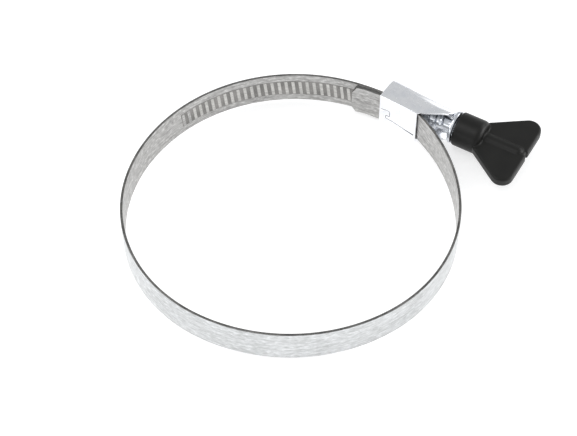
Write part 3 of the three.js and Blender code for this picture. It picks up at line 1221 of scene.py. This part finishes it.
@dataclass
class Grip:
    """Moulded plastic grip: a hub, a flared wing and a rib along its middle."""

    start: float = 23.1
    hub_radius: float = 4.45
    hub_length: float = 7.4
    hub_round: float = 1.5
    bore: float = 3.35
    bore_depth: float = 6.3
    root_x: float = 6.3
    length: float = 19.0
    tip: float = 13.4
    root_half: float = 4.7
    corner: float = 3.0
    thickness: float = 2.6
    edge: float = 0.5
    rib_radius: float = 1.95
    rib_end: float = 0.7
    turn: float = 2.0
    voxel: float = 0.16
    gate: float = 0.45
    gate_flare: float = 0.2
    hub_chamfer: float = 0.3
    rib_root: float = 2.0
    rib_round: float = 1.6
    round_steps: int = 8
    corner_steps: int = 10

    def outline(self) -> list[Vector]:
        """Gives the wing's outline with rounded corners.

        Returns:
            The outline's points.
        """
        root, edge_x = self.start + self.root_x, self.start + self.length
        half = self.root_half
        tip = Vector((edge_x, SCREW_Y + self.tip, 0.0))
        inward = (Vector((root, SCREW_Y + half, 0.0)) - tip).normalized()
        opening = math.acos(-inward.y)
        reach = self.corner / math.tan(opening / 2)
        centre = tip + Vector((-self.corner, -reach, 0.0))
        first = math.pi - opening
        points = [Vector((root, SCREW_Y + half, 0.0))]
        for index in range(self.corner_steps + 1):
            angle = first * (1 - index / self.corner_steps)
            points.append(centre + Vector((math.cos(angle), math.sin(angle), 0.0)) * self.corner)
        points += [Vector((edge_x, SCREW_Y + self.gate + self.gate_flare, 0.0)),
                   Vector((edge_x - self.gate, SCREW_Y + self.gate, 0.0))]
        low = [Vector((p.x, 2 * SCREW_Y - p.y, 0.0)) for p in reversed(points)]
        return points + low

    def build(self) -> list[bpy.types.Object]:
        """Builds, dresses and hangs the grip.

        Returns:
            The grip's object, in a list.
        """
        piece = Workpiece("grip")
        end = self.start + self.hub_length
        quarter = [math.pi / 2 * i / self.round_steps for i in range(self.round_steps + 1)]
        rounding = [(self.hub_radius - self.hub_round * (1 - math.cos(a)),
                     end - self.hub_round * (1 - math.sin(a))) for a in quarter]
        piece.turn([
            (0.0, self.start + self.bore_depth), (self.bore, self.start + self.bore_depth),
            (self.bore, self.start), (self.hub_radius - self.hub_chamfer, self.start),
            (self.hub_radius, self.start + self.hub_chamfer), *rounding, (0.0, end),
        ], 72)
        wing = piece.prism([p - Z_AXIS * self.thickness / 2 for p in self.outline()],
                           Z_AXIS * self.thickness)
        rims = [edge for edge in {edge for face in wing for edge in face.edges}
                if edge.calc_face_angle(0.0) > math.radians(60.0)
                and abs(edge.verts[0].co.z - edge.verts[1].co.z) < 0.1]
        bmesh.ops.bevel(piece.bm, geom=rims, offset=self.edge, segments=4, profile=0.5,
                        affect="EDGES", material=-1)
        rib_to = self.start + self.length - self.rib_end
        rib_from, dome = end - self.rib_root, rib_to - self.rib_round
        rib = [(0.0, rib_from), (self.rib_radius, rib_from), (self.rib_radius, dome)]
        rib += [(self.rib_radius * math.cos(a), dome + self.rib_round * math.sin(a))
                for a in quarter[1:]]
        piece.turn(rib[:-1] + [(0.0, rib_to)], 48)
        bmesh.ops.rotate(piece.bm, verts=piece.bm.verts, cent=(0.0, SCREW_Y, 0.0),
                         matrix=Matrix.Rotation(math.radians(self.turn), 3, "X"))
        grip = piece.done((
            ("REMESH", {"mode": "VOXEL", "voxel_size": self.voxel}),
            ("SMOOTH", {"factor": 0.5, "iterations": 6}),
        ), smooth=180.0)
        grip.data.materials.append(
            PlasticFinish("grip_satin_black", (0.004, 0.0039, 0.0032), (0.0085, 0.0082, 0.0068),
                          (0.38, 0.5)).material())
        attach(grip, Body.SCREW.value)
        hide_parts("wing_grip")
        return [grip]


# ---- Studio ----


@dataclass
class Studio:
    """Pale floor, soft lights and the camera."""

    floor_size: float = 6.0
    camera_place: tuple[float, float, float] = (0.12178, -0.21518, 0.3117)
    camera_target: tuple[float, float, float] = (-0.00084, -0.007, 0.0009)
    lens: float = 100.36
    shift: tuple[float, float] = (-0.0057, 0.0028)
    sky: tuple[float, float, float] = (0.97, 0.985, 1.0)
    sky_strength: float = 0.62
    floor_tone: float = 0.6
    floor_glow: float = 0.62
    sensor: float = 36.0
    lamps: tuple[tuple[str, tuple[float, float, float], float, float], ...] = (
        ("right", (0.62, 0.34, 0.16), 0.45, 3.2),
        ("left", (-0.64, -0.36, 0.16), 0.45, 3.2),
        ("key", (-0.35, -0.25, 0.75), 0.5, 1.6),
        ("rim", (0.3, 0.65, 0.5), 0.4, 1.2),
    )

    def floor(self) -> None:
        """Lays the floor."""
        bm = bmesh.new()
        bmesh.ops.create_grid(bm, x_segments=1, y_segments=1, size=self.floor_size / 2)
        mesh = bpy.data.meshes.new("floor")
        bm.to_mesh(mesh)
        bm.free()
        floor = bpy.data.objects.new("floor", mesh)
        bpy.context.scene.collection.objects.link(floor)
        board = NodeBoard("floor_white")
        mesh.materials.append(board.dress(
            Base_Color=(*[self.floor_tone] * 3, 1.0), Roughness=0.9, Specular_IOR_Level=0.1,
            Emission_Color=(1.0, 1.0, 1.0, 1.0), Emission_Strength=self.floor_glow))

    def lamp(self, name: str, place: Sequence[float], size: float, power: float) -> None:
        """Hangs a square soft light that looks at the clamp.

        Args:
            name: The light's name.
            place: Where it hangs, in metres.
            size: Its side, in metres.
            power: Its power, in watts.
        """
        light = bpy.data.lights.new(name, "AREA")
        light.shape, light.size, light.energy = "SQUARE", size, power
        lamp = bpy.data.objects.new(name, light)
        lamp.location = place
        lamp.rotation_euler = (-Vector(place)).to_track_quat("-Z", "Y").to_euler()
        bpy.context.scene.collection.objects.link(lamp)

    def build(self) -> None:
        """Sets up the whole studio."""
        self.floor()
        world = bpy.data.worlds.new("studio")
        world.use_nodes = True
        background = world.node_tree.nodes["Background"]
        background.inputs["Color"].default_value = (*self.sky, 1.0)
        background.inputs["Strength"].default_value = self.sky_strength
        scene = bpy.context.scene
        scene.world = world
        scene.view_settings.view_transform = "Standard"
        for lamp in self.lamps:
            self.lamp(*lamp)
        data = bpy.data.cameras.new("camera")
        data.lens, data.sensor_width = self.lens, self.sensor
        data.shift_x, data.shift_y = self.shift
        data.clip_start, data.clip_end = 0.01, 20.0
        camera = bpy.data.objects.new("camera", data)
        camera.location = self.camera_place
        look = Vector(self.camera_target) - Vector(self.camera_place)
        camera.rotation_euler = look.to_track_quat("-Z", "Y").to_euler()
        scene.collection.objects.link(camera)
        scene.camera = camera


def main() -> None:
    """Builds the clamp and its studio, in order."""
    logging.basicConfig(level=logging.INFO, format="%(name)s: %(message)s")
    for item in list(bpy.data.objects):
        bpy.data.objects.remove(item)
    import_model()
    for part in (Band(), Housing(), Screw(), Grip()):
        for piece in part.build():
            LOG.info("%s: %s, %d faces", type(part).__name__, piece.name, len(piece.data.polygons))
    Studio().build()


if __name__ == "__main__":
    main()
